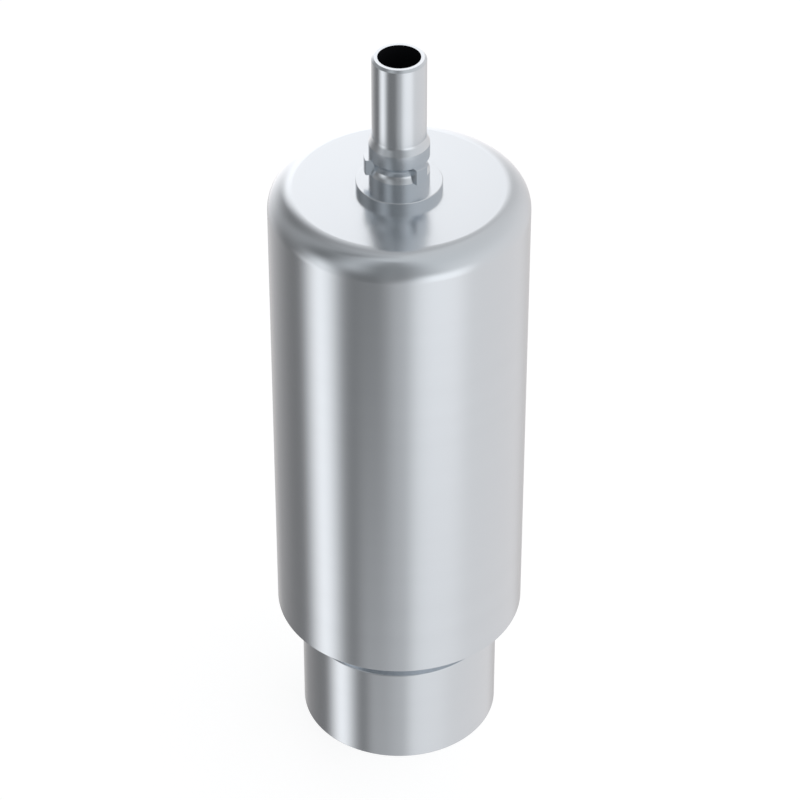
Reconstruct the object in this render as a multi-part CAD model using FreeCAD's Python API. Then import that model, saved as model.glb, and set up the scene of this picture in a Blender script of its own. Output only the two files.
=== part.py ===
import FreeCAD, Part
import math
import os

# One-piece titanium abutment blank, turned from bar.
# A clamping shank carries a solid cylinder of stock, and the implant connection
# stands finished on top of it, with a screw channel right through.
# Frame: millimetres, +Z up along the turning axis, origin at the centre of the
# shank's end face, on which the blank stands.

# Clamping shank and the relief that parts it from the stock
SHANK_DIAMETER = 8.0
SHANK_LENGTH = 4.5
RELIEF_DIAMETER = 7.0
RELIEF_LENGTH = 1.15
RELIEF_CORNER_RADIUS = 0.2

# Cylinder of stock that the abutment is milled from
STOCK_DIAMETER = 10.0
STOCK_LENGTH = 20.1
STOCK_TOP_RADIUS = 0.95

# Broken edges of the shank, the stock's lower end and the flange
SHANK_EDGE_BREAK = 0.04
STOCK_EDGE_BREAK = 0.03
FLANGE_EDGE_BREAK = 0.03

# Flange that seats on the implant's platform
FLANGE_DIAMETER = 3.3
FLANGE_HEIGHT = 0.32

# Collar, with a rounded V groove between its lower and upper bands, and the
# flare that blends it into the tube
COLLAR_DIAMETER = 2.31
LOWER_BAND_HEIGHT = 0.5
GROOVE_HEIGHT = 0.65
GROOVE_FLANK_ANGLE = 38.0
GROOVE_RADIUS = 0.45
UPPER_BAND_HEIGHT = 0.56
FLARE_HEIGHT = 0.27
FLARE_BLEND = 0.3

# Cams that bridge the groove and key the part in the implant
CAM_COUNT = 3
CAM_DIAMETER = 2.68
CAM_WIDTH = 0.52
FIRST_CAM_AZIMUTH = 70.1

# Guide tube above the collar
TUBE_DIAMETER = 2.06
TUBE_LENGTH = 3.42
TUBE_RIM_CHAMFER = 0.09

# Screw channel: the bore that clears the screw, its seat and the driver's way in
SCREW_BORE_DIAMETER = 1.62
SEAT_DEPTH_BELOW_FLANGE = 1.35
SEAT_HALF_ANGLE = 45.0
CHANNEL_DIAMETER = 2.4
CHANNEL_MOUTH_CHAMFER = 0.3

# How far a cutting shape runs past the face that it opens
OVERRUN = 1.0

# Heights of the faces along the axis
SHANK_TOP = SHANK_LENGTH
STOCK_BOTTOM = SHANK_TOP + RELIEF_LENGTH
STOCK_TOP = STOCK_BOTTOM + STOCK_LENGTH
FLANGE_TOP = STOCK_TOP + FLANGE_HEIGHT
GROOVE_BOTTOM = FLANGE_TOP + LOWER_BAND_HEIGHT
GROOVE_MIDDLE = GROOVE_BOTTOM + GROOVE_HEIGHT / 2
GROOVE_TOP = GROOVE_BOTTOM + GROOVE_HEIGHT
FLARE_BOTTOM = GROOVE_TOP + UPPER_BAND_HEIGHT
FLARE_TOP = FLARE_BOTTOM + FLARE_HEIGHT
TUBE_END = FLARE_TOP + TUBE_LENGTH
SEAT_EDGE = STOCK_TOP - SEAT_DEPTH_BELOW_FLANGE

# Radius at which the groove's two flanks would meet
FLANK_DEPTH = GROOVE_HEIGHT / 2 * math.tan(math.radians(GROOVE_FLANK_ANGLE))
FLANKS_MEET = COLLAR_DIAMETER / 2 - FLANK_DEPTH

AXIS_POINT = FreeCAD.Vector(0, 0, 0)
AXIS = FreeCAD.Vector(0, 0, 1)


def outline(corners):
    """Return a closed face through corners of (radius, height, rounding).

    Straight lines join the corners, and a rounding above zero puts a tangent
    arc of that radius in its corner.
    """
    points = [FreeCAD.Vector(radius, 0, height) for radius, height, _ in corners]
    roundings = [rounding for _, _, rounding in corners]
    arcs = []
    ends = []
    for index, point in enumerate(points):
        towards_last = (points[index - 1] - point).normalize()
        towards_next = (points[(index + 1) % len(points)] - point).normalize()
        half_angle = towards_last.getAngle(towards_next) / 2
        setback = roundings[index] / math.tan(half_angle)
        start = point + towards_last * setback
        end = point + towards_next * setback
        ends.append((start, end))
        if roundings[index] > 0:
            bisector = (towards_last + towards_next).normalize()
            depth = roundings[index] / math.sin(half_angle) - roundings[index]
            arcs.append(Part.Arc(start, point + bisector * depth, end).toShape())
    lines = []
    for index, (_, end) in enumerate(ends):
        start = ends[(index + 1) % len(ends)][0]
        lines.append(Part.LineSegment(end, start).toShape())
    wire = Part.Wire(Part.__sortEdges__(arcs + lines))
    return Part.Face(wire)


def turned(corners):
    """Return the solid that the outline sweeps about the axis."""
    return outline(corners).revolve(AXIS_POINT, AXIS, 360)


def turned_blank():
    """Return the outside of the blank as it leaves the lathe, with no channel."""
    shank = SHANK_DIAMETER / 2
    relief = RELIEF_DIAMETER / 2
    stock = STOCK_DIAMETER / 2
    flange = FLANGE_DIAMETER / 2
    collar = COLLAR_DIAMETER / 2
    tube = TUBE_DIAMETER / 2
    return turned([
        (0, 0, 0),
        (shank, 0, SHANK_EDGE_BREAK),
        (shank, SHANK_TOP, SHANK_EDGE_BREAK),
        (relief, SHANK_TOP, RELIEF_CORNER_RADIUS),
        (relief, STOCK_BOTTOM, RELIEF_CORNER_RADIUS),
        (stock, STOCK_BOTTOM, STOCK_EDGE_BREAK),
        (stock, STOCK_TOP, STOCK_TOP_RADIUS),
        (flange, STOCK_TOP, 0),
        (flange, FLANGE_TOP, FLANGE_EDGE_BREAK),
        (collar, FLANGE_TOP, 0),
        (collar, GROOVE_BOTTOM, 0),
        (FLANKS_MEET, GROOVE_MIDDLE, GROOVE_RADIUS),
        (collar, GROOVE_TOP, 0),
        (collar, FLARE_BOTTOM, 0),
        (tube, FLARE_TOP, FLARE_BLEND),
        (tube, TUBE_END - TUBE_RIM_CHAMFER, 0),
        (tube - TUBE_RIM_CHAMFER, TUBE_END, 0),
        (0, TUBE_END, 0),
    ])


def screw_channel():
    """Return the cutting shape of the stepped channel, mouth, seat and bore."""
    bore = SCREW_BORE_DIAMETER / 2
    channel = CHANNEL_DIAMETER / 2
    seat_height = (channel - bore) / math.tan(math.radians(SEAT_HALF_ANGLE))
    return turned([
        (0, -OVERRUN, 0),
        (channel + CHANNEL_MOUTH_CHAMFER + OVERRUN, -OVERRUN, 0),
        (channel, CHANNEL_MOUTH_CHAMFER, 0),
        (channel, SEAT_EDGE, 0),
        (bore, SEAT_EDGE + seat_height, 0),
        (bore, TUBE_END + OVERRUN, 0),
        (0, TUBE_END + OVERRUN, 0),
    ])


def cam(azimuth):
    """Return one cam, as high as the groove, with sides parallel to its centre line."""
    root = (SCREW_BORE_DIAMETER / 2 + FLANKS_MEET) / 2
    corner = FreeCAD.Vector(root, -CAM_WIDTH / 2, GROOVE_BOTTOM)
    block = Part.makeBox(CAM_DIAMETER, CAM_WIDTH, GROOVE_HEIGHT, corner)
    foot = FreeCAD.Vector(0, 0, GROOVE_BOTTOM)
    reach = Part.makeCylinder(CAM_DIAMETER / 2, GROOVE_HEIGHT, foot)
    block = block.common(reach)
    block.rotate(AXIS_POINT, AXIS, azimuth)
    return block


def abutment_blank():
    """Return the finished one-piece blank."""
    step = 360.0 / CAM_COUNT
    cams = [cam(FIRST_CAM_AZIMUTH + index * step) for index in range(CAM_COUNT)]
    blank = turned_blank().multiFuse(cams)
    return blank.cut(screw_channel()).removeSplitter()


os.makedirs("parts", exist_ok=True)
abutment_blank().exportStep("parts/abutment_blank.step")
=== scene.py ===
"""Looks of a one-piece titanium abutment blank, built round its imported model.

The blank is turned from bar: a clamping shank, a relief, a cylinder of milling
stock and, standing on it, a finished implant connection with a flange, a
grooved collar, three cams and a guide tube. Sizes are in millimetres, and
become metres where a mesh, a material, the camera or the stage is made.
"""

import logging
import math
from dataclasses import dataclass
from enum import Enum

import bpy
import numpy as np
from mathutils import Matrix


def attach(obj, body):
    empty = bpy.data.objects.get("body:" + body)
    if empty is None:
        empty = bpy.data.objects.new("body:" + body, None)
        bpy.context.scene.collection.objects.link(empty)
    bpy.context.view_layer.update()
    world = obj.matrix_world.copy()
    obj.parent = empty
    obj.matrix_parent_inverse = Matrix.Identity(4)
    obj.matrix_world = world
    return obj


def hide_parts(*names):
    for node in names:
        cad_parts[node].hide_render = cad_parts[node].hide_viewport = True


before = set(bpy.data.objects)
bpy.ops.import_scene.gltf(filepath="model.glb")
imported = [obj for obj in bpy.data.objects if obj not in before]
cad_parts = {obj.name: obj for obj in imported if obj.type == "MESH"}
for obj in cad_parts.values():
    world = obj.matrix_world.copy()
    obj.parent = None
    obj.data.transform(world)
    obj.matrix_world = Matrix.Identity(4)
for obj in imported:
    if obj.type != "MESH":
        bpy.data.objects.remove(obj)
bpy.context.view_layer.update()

MM = 0.001
NODE = "abutment_blank"
BODY = "root"
LOG = logging.getLogger(NODE)

Signal = float | bpy.types.NodeSocket
Color = tuple[float, float, float]

# Places of the two colours and of the result among a Mix node's sockets
MIX_FIRST = 6
MIX_SECOND = 7
MIX_RESULT = 2


class Area(Enum):
    """Areas of the blank that are finished differently; the bore is drawn near black as painted shade.
    """

    TURNED = 0
    FACED = 1
    # The bore's walls, drawn near black as painted shade of the deep bore.
    DRILLED = 2


@dataclass(frozen=True)
class Corner:
    """One corner of a turned outline.

    Attributes:
        radius: Distance from the turning axis.
        height: Height above the shank's end face.
        rounding: Radius of the arc in the corner, or 0 for a sharp corner.
        area: How the straight run from this corner to the next is finished.
    """

    radius: float
    height: float
    rounding: float = 0.0
    area: Area = Area.TURNED


def unit(vector: np.ndarray) -> np.ndarray:
    """Return the vector divided by its length.

    Args:
        vector: Any vector that isn't zero.

    Returns:
        The vector of length 1 in the same direction.
    """
    return vector / np.linalg.norm(vector)


@dataclass(frozen=True)
class Outline:
    """A closed outline in the plane of radius and height.

    Attributes:
        corners: The corners in order, the last one joined to the first.
        longest_step: Longest stretch between two points of a straight run.
        support: Distance from a run's end to the point that keeps its shade flat.
        arc_step: Largest angle, in radians, between two points of an arc.
        segments: Steps round the turning axis.
    """

    corners: tuple[Corner, ...]
    longest_step: float = 2.0
    support: float = 0.015
    arc_step: float = math.radians(7.5)
    segments: int = 448

    def place(self, index: int) -> np.ndarray:
        """Return a corner's (radius, height), counted round the closed outline."""
        corner = self.corners[index % len(self.corners)]
        return np.array([corner.radius, corner.height])

    def arc(self, index: int) -> np.ndarray:
        """Return the points of one corner.

        A rounded corner is a circle's arc between its two tangent points. A
        point on it is the arc's centre plus the two end spokes, each weighted
        by the sine of its share of the sweep over the sine of the whole sweep.

        Args:
            index: Which corner.

        Returns:
            An array of (radius, height), one row for a sharp corner.
        """
        here = self.place(index)
        rounding = self.corners[index].rounding
        if rounding == 0:
            return here[None, :]
        back = unit(self.place(index - 1) - here)
        ahead = unit(self.place(index + 1) - here)
        half = math.acos(float(back @ ahead)) / 2
        centre = here + unit(back + ahead) * rounding / math.sin(half)
        first = here + back * rounding / math.tan(half) - centre
        final = here + ahead * rounding / math.tan(half) - centre
        sweep = math.pi - 2 * half
        share = np.linspace(0, 1, math.ceil(sweep / self.arc_step) + 1)[:, None]
        spokes = np.sin((1 - share) * sweep) * first + np.sin(share * sweep) * final
        return centre + spokes / math.sin(sweep)

    def run(self, start: np.ndarray, end: np.ndarray) -> np.ndarray:
        """Return the points between two corners, without the corners' own.

        A point is the start plus the run's direction times a distance, at even
        steps between the two supports.

        Args:
            start: Where the straight run begins.
            end: Where it ends.

        Returns:
            An array of (radius, height), empty for a very short run.
        """
        length = float(np.linalg.norm(end - start))
        two_supports_and_a_gap = 3 * self.support
        if length < two_supports_and_a_gap:
            return np.empty((0, 2))
        count = math.ceil(length / self.longest_step) + 1
        along = np.linspace(self.support, length - self.support, count)[:, None]
        return start + unit(end - start) * along

    def points(self) -> tuple[np.ndarray, np.ndarray, np.ndarray]:
        """Return the outline as points, with what each one starts.

        Returns:
            The points as (radius, height), whether each is a sharp corner, and
            the number of the area that the stretch after it belongs to. An arc
            belongs to the area before it.
        """
        arcs = [self.arc(index) for index in range(len(self.corners))]
        rows, sharp, areas = [], [], []
        for index, corner in enumerate(self.corners):
            arc, after = arcs[index], arcs[(index + 1) % len(arcs)]
            run = self.run(arc[-1], after[0])
            rows += [arc, run]
            sharp += [corner.rounding == 0] + [False] * (len(arc) + len(run) - 1)
            areas += [self.corners[index - 1].area.value] * (len(arc) - 1)
            areas += [corner.area.value] * (len(run) + 1)
        return np.concatenate(rows), np.array(sharp), np.array(areas)

    def turned(self, name: str) -> bpy.types.Object:
        """Return the closed surface that the outline sweeps about the Z axis.

        A point of it is (radius times the cosine of the turn, radius times the
        sine of the turn, height), over the grid of outline points and turns.

        Args:
            name: Name of the piece.

        Returns:
            The object, with a material number for each area.
        """
        points, sharp, areas = self.points()
        turn = np.linspace(0, 2 * np.pi, self.segments, endpoint=False)
        grid = np.stack(
            [
                points[:, :1] * np.cos(turn),
                points[:, :1] * np.sin(turn),
                points[:, 1:] * np.ones(self.segments),
            ],
            axis=-1,
        )
        faces = closed_grid(len(points), self.segments)
        piece = mesh_piece(name, grid.reshape(-1, 3), faces.tolist())
        piece.data.polygons.foreach_set("material_index", np.repeat(areas, self.segments))
        ring = np.repeat(np.where(sharp, np.arange(len(points)), -1), self.segments)
        keep_sharp(piece.data, ring)
        return piece


def closed_grid(rows: int, columns: int) -> np.ndarray:
    """Return the faces of a grid that closes both ways, as a ring does.

    The corners of face (i, j) are (i, j), (i, j + 1), (i + 1, j + 1) and
    (i + 1, j), each counted round its side, and (i, j) is vertex i times the
    columns plus j.

    Args:
        rows: Points along the outline.
        columns: Points round the axis.

    Returns:
        An array of vertex numbers, one row of four for each face.
    """
    row, column = np.meshgrid(np.arange(rows), np.arange(columns), indexing="ij")
    next_row, next_column = (row + 1) % rows, (column + 1) % columns
    corners = [(row, column), (row, next_column), (next_row, next_column), (next_row, column)]
    return np.stack([i * columns + j for i, j in corners], axis=-1).reshape(-1, 4)


def mesh_piece(name: str, points: np.ndarray, faces: list[list[int]]) -> bpy.types.Object:
    """Return a new smooth-shaded mesh object at the origin.

    Args:
        name: Name of the piece.
        points: Places in millimetres, one row each.
        faces: Vertex numbers of each face, anticlockwise seen from outside.

    Returns:
        The object, linked to the scene.
    """
    mesh = bpy.data.meshes.new(name)
    mesh.from_pydata((points * MM).tolist(), [], faces)
    mesh.polygons.foreach_set("use_smooth", np.ones(len(faces), bool))
    piece = bpy.data.objects.new(name, mesh)
    bpy.context.scene.collection.objects.link(piece)
    return piece


def keep_sharp(mesh: bpy.types.Mesh, ring: np.ndarray) -> None:
    """Keep the shade apart along the rings of sharp corners.

    Args:
        mesh: The mesh to mark.
        ring: For each vertex, the number of its sharp ring, or -1.
    """
    ends = np.empty(len(mesh.edges) * 2, np.int32)
    mesh.edges.foreach_get("vertices", ends)
    first, second = ring[ends.reshape(-1, 2)].T
    mesh.edges.foreach_set("use_edge_sharp", (first >= 0) & (first == second))
    mesh.update()


class Wiring:
    """Writes shader nodes into a tree and links them as they are written."""

    def __init__(self, tree: bpy.types.NodeTree) -> None:
        """Keep the tree, emptied.

        Args:
            tree: The node tree of a material or of the world.
        """
        self.tree = tree
        tree.nodes.clear()

    def add(self, kind: str, *inputs: Signal | tuple, **settings: object) -> bpy.types.Node:
        """Return a new node with its inputs set or linked, in their order.

        Args:
            kind: Blender's name of the node.
            inputs: A value or another node's output for each input.
            settings: Values of the node's own properties.

        Returns:
            The node.
        """
        node = self.tree.nodes.new(kind)
        for name, value in settings.items():
            setattr(node, name, value)
        for socket, value in zip(node.inputs, inputs):
            self.feed(socket, value)
        return node

    def feed(self, socket: bpy.types.NodeSocket, value: Signal | tuple) -> None:
        """Set an input, or link it where the value is another node's output.

        Args:
            socket: The input.
            value: What it gets.
        """
        if isinstance(value, bpy.types.NodeSocket):
            self.tree.links.new(value, socket)
        else:
            socket.default_value = value

    def math(self, operation: str, *values: Signal) -> bpy.types.NodeSocket:
        """Return the result of a Math node."""
        return self.add("ShaderNodeMath", *values, operation=operation).outputs["Value"]

    def between(self, value: Signal, low: Signal, high: Signal) -> bpy.types.NodeSocket:
        """Return low where the value is 0, high where it is 1, and evenly between."""
        return self.add("ShaderNodeMapRange", value, 0.0, 1.0, low, high).outputs["Result"]

    def window(self, distance: Signal, half: float, fade: float) -> bpy.types.NodeSocket:
        """Return a smooth step from 1 inside a window to 0 outside it.

        Args:
            distance: Distance from the window's middle.
            half: Half its width, measured to the middle of its fade.
            fade: Width of its fade.

        Returns:
            The share, from 0 to 1.
        """
        outside, inside = half + fade / 2, half - fade / 2
        step = self.add("ShaderNodeMapRange", distance, outside, inside, interpolation_type="SMOOTHSTEP")
        return step.outputs["Result"]

    def blend(self, share: Signal, first: Color, second: Color) -> bpy.types.NodeSocket:
        """Return the first colour where the share is 0, the second where it is 1.

        Args:
            share: How much of the second colour there is, from 0 to 1.
            first: A colour.
            second: Another colour.

        Returns:
            The colour between them.
        """
        mix = self.add("ShaderNodeMix", share, data_type="RGBA")
        self.feed(mix.inputs[MIX_FIRST], (*first, 1.0))
        self.feed(mix.inputs[MIX_SECOND], (*second, 1.0))
        return mix.outputs[MIX_RESULT]

    def noise(self, along: Signal, width: float, detail: float = 1.0) -> bpy.types.NodeSocket:
        """Return one-dimensional noise from 0 to 1.

        Args:
            along: The coordinate that it changes along, in metres.
            width: Width of one of its waves, in millimetres.
            detail: How many times finer noise is added.

        Returns:
            The noise.
        """
        noise = self.add("ShaderNodeTexNoise", noise_dimensions="1D")
        self.feed(noise.inputs["W"], along)
        self.feed(noise.inputs["Scale"], 1 / (width * MM))
        self.feed(noise.inputs["Detail"], detail)
        return noise.outputs["Fac"]

    def bump(self, height: Signal, depth: float) -> bpy.types.NodeSocket:
        """Return the surface's normal, tilted by a fine relief.

        Args:
            height: The relief's height, from 0 to 1.
            depth: What a height of 1 measures, in metres.

        Returns:
            The normal.
        """
        bump = self.add("ShaderNodeBump")
        self.feed(bump.inputs["Height"], height)
        self.feed(bump.inputs["Distance"], depth)
        return bump.outputs["Normal"]

    def principled(self, **inputs: Signal | tuple) -> None:
        """Join a Principled shader to the material's output.

        Args:
            inputs: Its inputs, with an underscore for each space in a name.
        """
        shader = self.add("ShaderNodeBsdfPrincipled")
        for name, value in inputs.items():
            self.feed(shader.inputs[name.replace("_", " ")], value)
        self.add("ShaderNodeOutputMaterial", shader.outputs["BSDF"])


def new_material(name: str) -> tuple[bpy.types.Material, Wiring]:
    """Return an empty node material and the wiring to write its nodes with.

    Args:
        name: Name of the material.

    Returns:
        The material and its wiring.
    """
    material = bpy.data.materials.new(name)
    material.use_nodes = True
    return material, Wiring(material.node_tree)


@dataclass(frozen=True)
class Titanium:
    """Bright cut titanium with faint tool lines.

    Attributes:
        name: Name of the material.
        roughness: How satin it is.
        color: Colour of the bare metal.
        spread: How far the roughness changes from line to line.
        pitch: Distance between tool lines, in millimetres.
        depth: Depth of the tool lines, in millimetres.
        banding: How much darker the dullest band is.
        band: Width of the bands, in millimetres.
    """

    name: str
    roughness: float = 0.2
    color: Color = (0.716, 0.75, 0.784)
    spread: float = 0.02
    pitch: float = 0.04
    depth: float = 0.00003
    banding: float = 0.02
    band: float = 0.9

    def material(self) -> bpy.types.Material:
        """Return the node material.

        The tool lines are noise along r + z, where r is the distance from the
        axis and z the height, so they run round the walls and the faced ends
        alike. Wider noise along the same line makes faint bands of tone.

        Returns:
            A new material.
        """
        material, wiring = new_material(self.name)
        place = wiring.add("ShaderNodeTexCoord").outputs["Object"]
        axes = wiring.add("ShaderNodeSeparateXYZ", place).outputs
        flat = wiring.add("ShaderNodeCombineXYZ", axes["X"], axes["Y"]).outputs["Vector"]
        radius = wiring.add("ShaderNodeVectorMath", flat, operation="LENGTH").outputs["Value"]
        along = wiring.math("ADD", radius, axes["Z"])
        line = wiring.noise(along, self.pitch)
        band = wiring.noise(along, self.band)
        dull = tuple(channel * (1 - self.banding) for channel in self.color)
        wiring.principled(
            Base_Color=wiring.blend(band, self.color, dull),
            Metallic=1.0,
            Roughness=wiring.between(line, self.roughness - self.spread, self.roughness + self.spread),
            Normal=wiring.bump(line, self.depth * MM),
        )
        return material


@dataclass(frozen=True)
class Matte:
    """A plain dull finish.

    Attributes:
        name: Name of the material.
        color: Its colour.
        glow: Strength of its own white light, where 1 is white.
        roughness: How dull it is.
        specular: How strongly it mirrors.
    """

    name: str
    color: Color
    glow: float = 0.0
    roughness: float = 0.9
    specular: float = 0.05

    def material(self) -> bpy.types.Material:
        """Return the node material, the same all over.

        Returns:
            A new material.
        """
        material, wiring = new_material(self.name)
        wiring.principled(
            Base_Color=(*self.color, 1.0),
            Roughness=self.roughness,
            Specular_IOR_Level=self.specular,
            Emission_Color=(1.0, 1.0, 1.0, 1.0),
            Emission_Strength=self.glow,
        )
        return material


@dataclass(frozen=True)
class Blank:
    """The turned blank, all but its cams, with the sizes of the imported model."""

    shank_diameter: float = 8.0
    shank_length: float = 4.5
    shank_edge_break: float = 0.04
    relief_diameter: float = 7.0
    relief_length: float = 1.15
    relief_corner: float = 0.2
    stock_diameter: float = 10.0
    stock_length: float = 20.1
    stock_top_radius: float = 0.95
    stock_edge_break: float = 0.03
    flange_diameter: float = 3.3
    flange_height: float = 0.32
    flange_edge_break: float = 0.03
    collar_diameter: float = 2.31
    lower_band: float = 0.5
    groove_height: float = 0.65
    groove_flank_angle: float = 38.0
    groove_radius: float = 0.45
    upper_band: float = 0.56
    flare: float = 0.27
    flare_blend: float = 0.3
    tube_diameter: float = 2.06
    tube_length: float = 3.42
    rim_chamfer: float = 0.09
    bore_diameter: float = 1.62
    seat_depth: float = 1.35
    seat_half_angle: float = 45.0
    channel_diameter: float = 2.4
    mouth_chamfer: float = 0.3

    @property
    def stock_bottom(self) -> float:
        """Height of the stock's lower end."""
        return self.shank_length + self.relief_length

    @property
    def stock_top(self) -> float:
        """Height of the stock's faced top."""
        return self.stock_bottom + self.stock_length

    @property
    def flange_top(self) -> float:
        """Height of the face that seats on the implant."""
        return self.stock_top + self.flange_height

    @property
    def groove_bottom(self) -> float:
        """Height of the groove's lower edge."""
        return self.flange_top + self.lower_band

    @property
    def groove_top(self) -> float:
        """Height of the groove's upper edge."""
        return self.groove_bottom + self.groove_height

    @property
    def flanks_meet(self) -> float:
        """Radius at which the groove's two flanks would meet."""
        depth = self.groove_height / 2 * math.tan(math.radians(self.groove_flank_angle))
        return self.collar_diameter / 2 - depth

    @property
    def tube_end(self) -> float:
        """Height of the guide tube's rim."""
        return self.groove_top + self.upper_band + self.flare + self.tube_length

    def stock(self) -> list[Corner]:
        """Return the lower half of the outline.

        Returns:
            The corners of the shank, the relief and the stock.
        """
        shank, relief = self.shank_diameter / 2, self.relief_diameter / 2
        stock = self.stock_diameter / 2
        return [
            Corner(shank, 0.0, self.shank_edge_break),
            Corner(shank, self.shank_length, self.shank_edge_break, Area.FACED),
            Corner(relief, self.shank_length, self.relief_corner),
            Corner(relief, self.stock_bottom, self.relief_corner, Area.FACED),
            Corner(stock, self.stock_bottom, self.stock_edge_break),
            Corner(stock, self.stock_top, self.stock_top_radius, Area.FACED),
        ]

    def connection(self) -> list[Corner]:
        """Return the outline of the implant connection.

        Returns:
            The corners from the flange's foot to the tube's rim.
        """
        flange, collar = self.flange_diameter / 2, self.collar_diameter / 2
        tube = self.tube_diameter / 2
        flare_bottom = self.groove_top + self.upper_band
        return [
            Corner(flange, self.stock_top),
            Corner(flange, self.flange_top, self.flange_edge_break, Area.FACED),
            Corner(collar, self.flange_top),
            Corner(collar, self.groove_bottom),
            Corner(self.flanks_meet, self.groove_bottom + self.groove_height / 2, self.groove_radius),
            Corner(collar, self.groove_top),
            Corner(collar, flare_bottom),
            Corner(tube, flare_bottom + self.flare, self.flare_blend),
            Corner(tube, self.tube_end - self.rim_chamfer),
            Corner(tube - self.rim_chamfer, self.tube_end, 0.0, Area.FACED),
        ]

    def channel(self) -> list[Corner]:
        """Return the outline of the screw channel.

        Returns:
            The corners of its bore, seat and driver's way in, from the rim down.
        """
        bore, channel = self.bore_diameter / 2, self.channel_diameter / 2
        seat_edge = self.stock_top - self.seat_depth
        seat_height = (channel - bore) / math.tan(math.radians(self.seat_half_angle))
        return [
            # The bore's walls get the near-black painted shade of the deep bore.
            Corner(bore, self.tube_end, 0.0, Area.DRILLED),
            Corner(bore, seat_edge + seat_height, 0.0, Area.DRILLED),
            Corner(channel, seat_edge, 0.0, Area.DRILLED),
            Corner(channel, self.mouth_chamfer),
            Corner(channel + self.mouth_chamfer, 0.0, 0.0, Area.FACED),
        ]

    def build(self, finishes: dict[Area, bpy.types.Material]) -> bpy.types.Object:
        """Return the turned surface as one closed piece.

        Args:
            finishes: The material of each area.

        Returns:
            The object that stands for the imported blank.
        """
        outline = Outline(tuple(self.stock() + self.connection() + self.channel()))
        piece = outline.turned("turned_blank")
        for area in Area:
            piece.data.materials.append(finishes[area])
        return piece


@dataclass(frozen=True)
class Cams:
    """The three cams that bridge the collar's groove.

    Attributes:
        count: How many cams stand round the collar.
        diameter: Circle that their outer faces lie on.
        width: Distance between a cam's two parallel sides.
        first_azimuth: Direction of the first cam, in degrees from +X.
        edge: Width of the broken edges.
        edge_segments: Faces across a broken edge.
        break_above: Edges that turn by more than this, in degrees, are broken.
        face_points: Points across the outer face.
    """

    count: int = 3
    diameter: float = 2.68
    width: float = 0.52
    first_azimuth: float = 70.1
    edge: float = 0.008
    edge_segments: int = 3
    break_above: float = 40.0
    face_points: int = 13

    def plan(self, root: float, turn: float) -> np.ndarray:
        """Return a cam's outline seen from above, anticlockwise.

        For a cam along +X the outer face is an arc of the cams' circle, where x
        is the square root of the circle's radius squared less y squared, and
        the sides are parallel to x. The outline is then turned about the axis.

        Args:
            root: How near the axis the cam begins, inside the wall.
            turn: The cam's direction, in radians from +X.

        Returns:
            An array of (x, y).
        """
        half = self.width / 2
        across = np.linspace(-half, half, self.face_points)
        face = np.column_stack([np.sqrt((self.diameter / 2) ** 2 - across**2), across])
        flat = np.concatenate([face, [[root, half], [root, -half]]])
        cosine, sine = math.cos(turn), math.sin(turn)
        return flat @ np.array([[cosine, sine], [-sine, cosine]])

    def build(self, blank: Blank, finish: bpy.types.Material) -> list[bpy.types.Object]:
        """Return the cams, each a closed piece rooted in the groove's wall.

        Args:
            blank: The turned blank that carries them.
            finish: Their material.

        Returns:
            One object for each cam.
        """
        root = (blank.bore_diameter / 2 + blank.flanks_meet) / 2
        pieces = []
        for index in range(self.count):
            turn = math.radians(self.first_azimuth + 360 / self.count * index)
            plan = self.plan(root, turn)
            piece = self.block(f"cam_{index + 1}", plan, blank.groove_bottom, blank.groove_top)
            piece.data.materials.append(finish)
            pieces.append(piece)
        return pieces

    def block(self, name: str, plan: np.ndarray, bottom: float, top: float) -> bpy.types.Object:
        """Return a plan raised between two heights, with its edges broken.

        Args:
            name: Name of the piece.
            plan: Its outline seen from above, anticlockwise.
            bottom: Height of its lower face.
            top: Height of its upper face.

        Returns:
            The object.
        """
        count = len(plan)
        lower, upper = np.insert(plan, 2, bottom, axis=1), np.insert(plan, 2, top, axis=1)
        near = np.arange(count)
        far = (near + 1) % count
        sides = np.column_stack([near, far, far + count, near + count])
        caps = [near[::-1].tolist(), (near + count).tolist()]
        piece = mesh_piece(name, np.concatenate([lower, upper]), sides.tolist() + caps)
        bevel = piece.modifiers.new("broken_edges", "BEVEL")
        bevel.width = self.edge * MM
        bevel.segments = self.edge_segments
        bevel.limit_method = "ANGLE"
        bevel.angle_limit = math.radians(self.break_above)
        bevel.harden_normals = True
        return piece


@dataclass(frozen=True)
class Panel:
    """One soft panel of the studio, on the sphere of directions round the blank.

    Attributes:
        name: What it is.
        level: Its brightness, where 1 is white.
        azimuth: Direction of its middle, in degrees from -Y towards +X.
        half_width: Half its width, in degrees.
        side_fade: Width over which its sides fade, in degrees.
        elevation: Height of its middle, in degrees above the horizon.
        half_height: Half its height, in degrees.
        end_fade: Height over which its ends fade, in degrees.
    """

    name: str
    level: float
    azimuth: float
    half_width: float
    side_fade: float
    elevation: float = 0.0
    half_height: float = 120.0
    end_fade: float = 10.0

    def share(self, wiring: Wiring, azimuth: Signal, elevation: Signal) -> bpy.types.NodeSocket:
        """Return how much of a direction the panel covers.

        It is the product of two smooth steps, one of the distance from the
        panel's middle round the horizon and one of the distance in elevation.

        Args:
            wiring: The world's wiring.
            azimuth: The direction's azimuth, in radians.
            elevation: Its elevation, in radians.

        Returns:
            The share, from 0 to 1.
        """
        off = wiring.math("SUBTRACT", azimuth, math.radians(self.azimuth))
        off = wiring.math("ABSOLUTE", wiring.math("WRAP", off, math.pi, -math.pi))
        rise = wiring.math("SUBTRACT", elevation, math.radians(self.elevation))
        rise = wiring.math("ABSOLUTE", rise)
        sides = wiring.window(off, math.radians(self.half_width), math.radians(self.side_fade))
        ends = wiring.window(rise, math.radians(self.half_height), math.radians(self.end_fade))
        return wiring.math("MULTIPLY", sides, ends)


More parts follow.
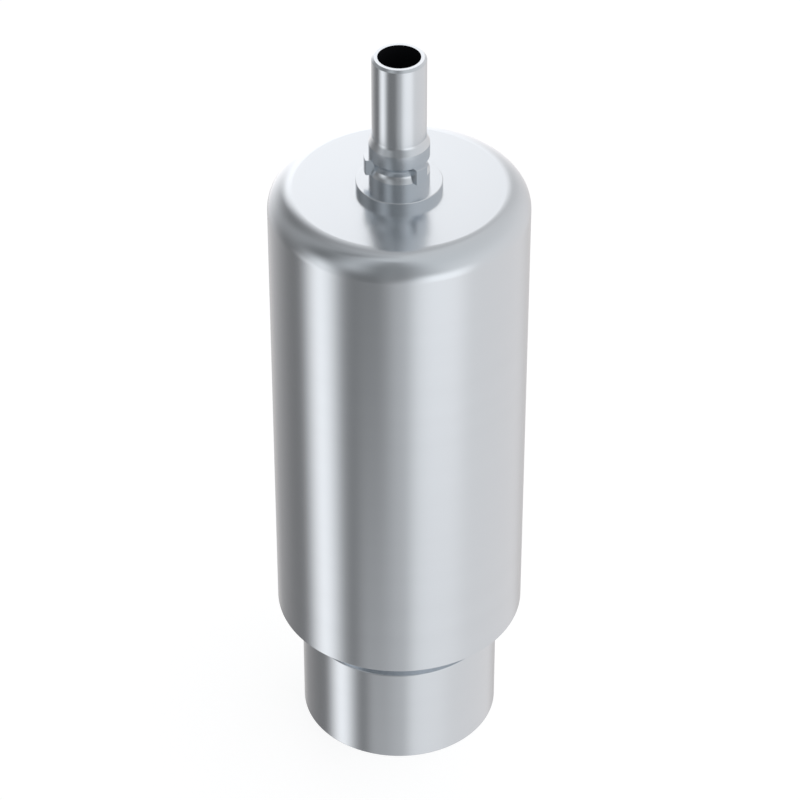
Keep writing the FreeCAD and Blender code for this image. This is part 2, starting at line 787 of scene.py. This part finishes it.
@dataclass(frozen=True)
class Studio:
    """Soft light round the blank, a pale floor and a pale backdrop.

    Attributes:
        dark: Brightness of the room between the panels.
        panels: The panels, each laid over those before it.
        warm_side: Direction that the light is warmest from.
        warm: Its hue there.
        cool: Its hue from the opposite side.
        floor: Finish of the floor.
        backdrop: Finish of the backdrop.
        radius: Distance to the backdrop, in millimetres.
        rings: Rings of faces from the backdrop's foot to its top.
        segments: Steps round the floor and the backdrop.
    """

    dark: float = 0.2
    panels: tuple[Panel, ...] = (
        Panel("ceiling", level=0.54, azimuth=0.0, half_width=200.0, side_fade=1.0,
              elevation=90.0, half_height=29.0, end_fade=53.0),
        Panel("left_upper", level=0.36, azimuth=-102.0, half_width=17.0, side_fade=28.0,
              elevation=46.0, half_height=39.0, end_fade=58.0),
        Panel("left_front_upper", level=0.6, azimuth=-41.0, half_width=12.0, side_fade=35.0,
              elevation=46.0, half_height=40.0, end_fade=44.0),
        Panel("left_rear", level=1.05, azimuth=-172.0, half_width=41.0, side_fade=58.0,
              elevation=-7.0, half_height=26.0, end_fade=43.0),
        Panel("front_fill", level=0.52, azimuth=-20.0, half_width=18.0, side_fade=16.0,
              elevation=-80.0, half_height=40.0, end_fade=10.0),
        Panel("front_low", level=0.57, azimuth=-2.0, half_width=6.0, side_fade=24.0,
              elevation=-73.0, half_height=57.0, end_fade=35.0),
        Panel("side_fill", level=0.8, azimuth=88.0, half_width=69.0, side_fade=58.0),
        Panel("side_ceiling", level=0.69, azimuth=96.0, half_width=68.0, side_fade=23.0,
              elevation=88.0, half_height=60.0, end_fade=61.0),
        Panel("right_rear", level=0.78, azimuth=-177.0, half_width=14.0, side_fade=42.0,
              elevation=-16.0, half_height=73.0, end_fade=35.0),
        Panel("front_key", level=0.83, azimuth=28.0, half_width=20.0, side_fade=24.0,
              elevation=-67.0, half_height=48.0, end_fade=31.0),
        Panel("key_core", level=1.18, azimuth=38.0, half_width=20.0, side_fade=25.0,
              elevation=-20.0, half_height=16.0, end_fade=25.0),
        Panel("left_strip", level=1.25, azimuth=-74.0, half_width=13.0, side_fade=28.0,
              elevation=-58.0, half_height=36.0, end_fade=32.0),
        Panel("left_strip_top", level=1.23, azimuth=-65.0, half_width=9.0, side_fade=37.0,
              elevation=-12.0, half_height=19.0, end_fade=44.0),
        Panel("back_card", level=1.43, azimuth=-173.0, half_width=16.0, side_fade=27.0,
              elevation=6.0, half_height=31.0, end_fade=5.0),
        Panel("front_gap", level=0.29, azimuth=-6.0, half_width=8.0, side_fade=14.0,
              elevation=23.0, half_height=48.0, end_fade=29.0),
        Panel("ceiling_front", level=0.64, azimuth=-13.0, half_width=35.0, side_fade=30.0,
              elevation=77.0, half_height=9.0, end_fade=3.0),
        Panel("left_high", level=0.25, azimuth=-75.0, half_width=10.0, side_fade=6.0,
              elevation=64.0, half_height=13.0, end_fade=16.0),
    )
    warm_side: tuple[float, float, float] = (0.22, 0.75, -0.63)
    warm: Color = (1.036, 1.0, 0.993)
    cool: Color = (0.968, 1.0, 1.025)
    floor: Matte = Matte("pale_floor", (0.35, 0.35, 0.35), 0.83)
    backdrop: Matte = Matte("pale_backdrop", (0.0, 0.0, 0.0), 1.0)
    radius: float = 1500.0
    rings: int = 24
    segments: int = 96

    def build(self) -> None:
        """Make the world, the floor and the backdrop.

        The metal mirrors the world's panels from below as well as from above,
        so the floor and the backdrop stay out of its reflections.
        """
        self.light()
        floor = self.dome("floor", np.array([0.0, self.radius]), np.zeros(2), self.floor)
        floor.visible_glossy = False
        floor.visible_shadow = False
        rise = np.linspace(0, np.pi / 2, self.rings + 1)
        outward = self.radius * np.cos(rise)
        backdrop = self.dome("backdrop", outward, self.radius * np.sin(rise), self.backdrop)
        backdrop.visible_diffuse = False
        backdrop.visible_glossy = False
        backdrop.visible_transmission = False
        backdrop.visible_shadow = False

    def light(self) -> None:
        """Make the world, where each panel in turn covers its share of what is there."""
        world = bpy.data.worlds.new("studio")
        world.use_nodes = True
        bpy.context.scene.world = world
        wiring = Wiring(world.node_tree)
        direction = wiring.add("ShaderNodeTexCoord").outputs["Generated"]
        axes = wiring.add("ShaderNodeSeparateXYZ", direction).outputs
        towards_camera = wiring.math("MULTIPLY", axes["Y"], -1.0)
        azimuth = wiring.math("ARCTAN2", axes["X"], towards_camera)
        elevation = wiring.math("ARCSINE", axes["Z"])
        level = self.dark
        for panel in self.panels:
            level = wiring.between(panel.share(wiring, azimuth, elevation), level, panel.level)
        LOG.info("studio panels: %s", ", ".join(panel.name for panel in self.panels))
        background = wiring.add("ShaderNodeBackground", self.hue(wiring, direction), level)
        wiring.add("ShaderNodeOutputWorld", background.outputs["Background"])

    def hue(self, wiring: Wiring, direction: bpy.types.NodeSocket) -> bpy.types.NodeSocket:
        """Return the light's hue, which changes evenly from its cool to its warm side.

        The share of the warm hue is half of 1 plus the direction's dot product
        with the warm side.

        Args:
            wiring: The world's wiring.
            direction: The direction that the light comes from.

        Returns:
            The colour.
        """
        facing = wiring.add("ShaderNodeVectorMath", direction, self.warm_side, operation="DOT_PRODUCT")
        share = wiring.add("ShaderNodeMapRange", facing.outputs["Value"], -1.0, 1.0).outputs["Result"]
        return wiring.blend(share, self.cool, self.warm)

    def dome(self, name: str, radii: np.ndarray, heights: np.ndarray, finish: Matte) -> bpy.types.Object:
        """Return a surface of the stage, swept about the Z axis.

        A point of it is (radius times the cosine of the turn, radius times the
        sine of the turn, height). The last of closed_grid's rows of faces,
        which would join its two ends, is left out.

        Args:
            name: Name of the surface.
            radii: Distances from the axis, in millimetres.
            heights: Heights at those distances, in millimetres.
            finish: Its finish.

        Returns:
            The object.
        """
        turn = np.linspace(0, 2 * np.pi, self.segments, endpoint=False)
        level = np.ones(self.segments)
        grid = np.stack(
            [np.outer(radii, np.cos(turn)), np.outer(radii, np.sin(turn)), np.outer(heights, level)],
            axis=-1,
        )
        faces = closed_grid(len(radii), self.segments)[: -self.segments]
        piece = mesh_piece(name, grid.reshape(-1, 3), faces.tolist())
        piece.data.materials.append(finish.material())
        return piece


@dataclass(frozen=True)
class Viewpoint:
    """The camera, which looks down on the blank from its front.

    Attributes:
        target_height: Height on the axis that it looks at, in millimetres.
        aside: How far it stands towards +X, in millimetres.
        distance: Its distance from the target, in millimetres.
        elevation: How steeply it looks down, in degrees.
        focal_length: Focal length for the sensor below, in millimetres.
        sensor_width: Width of the sensor, in millimetres.
    """

    target_height: float = 15.564
    aside: float = 0.03
    distance: float = 133.49
    elevation: float = 37.81
    focal_length: float = 152.1
    sensor_width: float = 36.0

    def build(self) -> None:
        """Make the camera and put it in use."""
        lens = bpy.data.cameras.new("camera")
        lens.lens = self.focal_length
        lens.sensor_width = self.sensor_width
        lens.clip_start = MM
        camera = bpy.data.objects.new("camera", lens)
        bpy.context.scene.collection.objects.link(camera)
        tilt = math.radians(self.elevation)
        away = self.distance * math.cos(tilt)
        height = self.target_height + self.distance * math.sin(tilt)
        camera.location = (self.aside * MM, -away * MM, height * MM)
        camera.rotation_euler = (math.pi / 2 - tilt, 0, 0)
        bpy.context.scene.camera = camera


def join_frame(piece: bpy.types.Object) -> None:
    """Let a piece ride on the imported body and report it.

    Args:
        piece: A piece of the blank.
    """
    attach(piece, BODY)
    LOG.info("%s: %d faces", piece.name, len(piece.data.polygons))


def main() -> None:
    """Build the blank, its studio and the camera."""
    logging.basicConfig(level=logging.INFO, format="%(name)s: %(message)s")
    bpy.context.scene.view_settings.view_transform = "Standard"
    finishes = {
        Area.TURNED: Titanium("turned_titanium").material(),
        Area.FACED: Titanium("faced_titanium", roughness=0.22).material(),
        # Painted shade: the bore is drawn as near-black matte, standing in for the shade deep inside the
        # titanium bore.
        Area.DRILLED: Matte("bore_painted_shade", (0.012, 0.012, 0.014)).material(),
    }
    blank = Blank()
    turned = blank.build(finishes)
    join_frame(turned)
    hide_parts(NODE)
    for cam in Cams().build(blank, finishes[Area.TURNED]):
        join_frame(cam)
    Studio().build()
    Viewpoint().build()


if __name__ == "__main__":
    main()
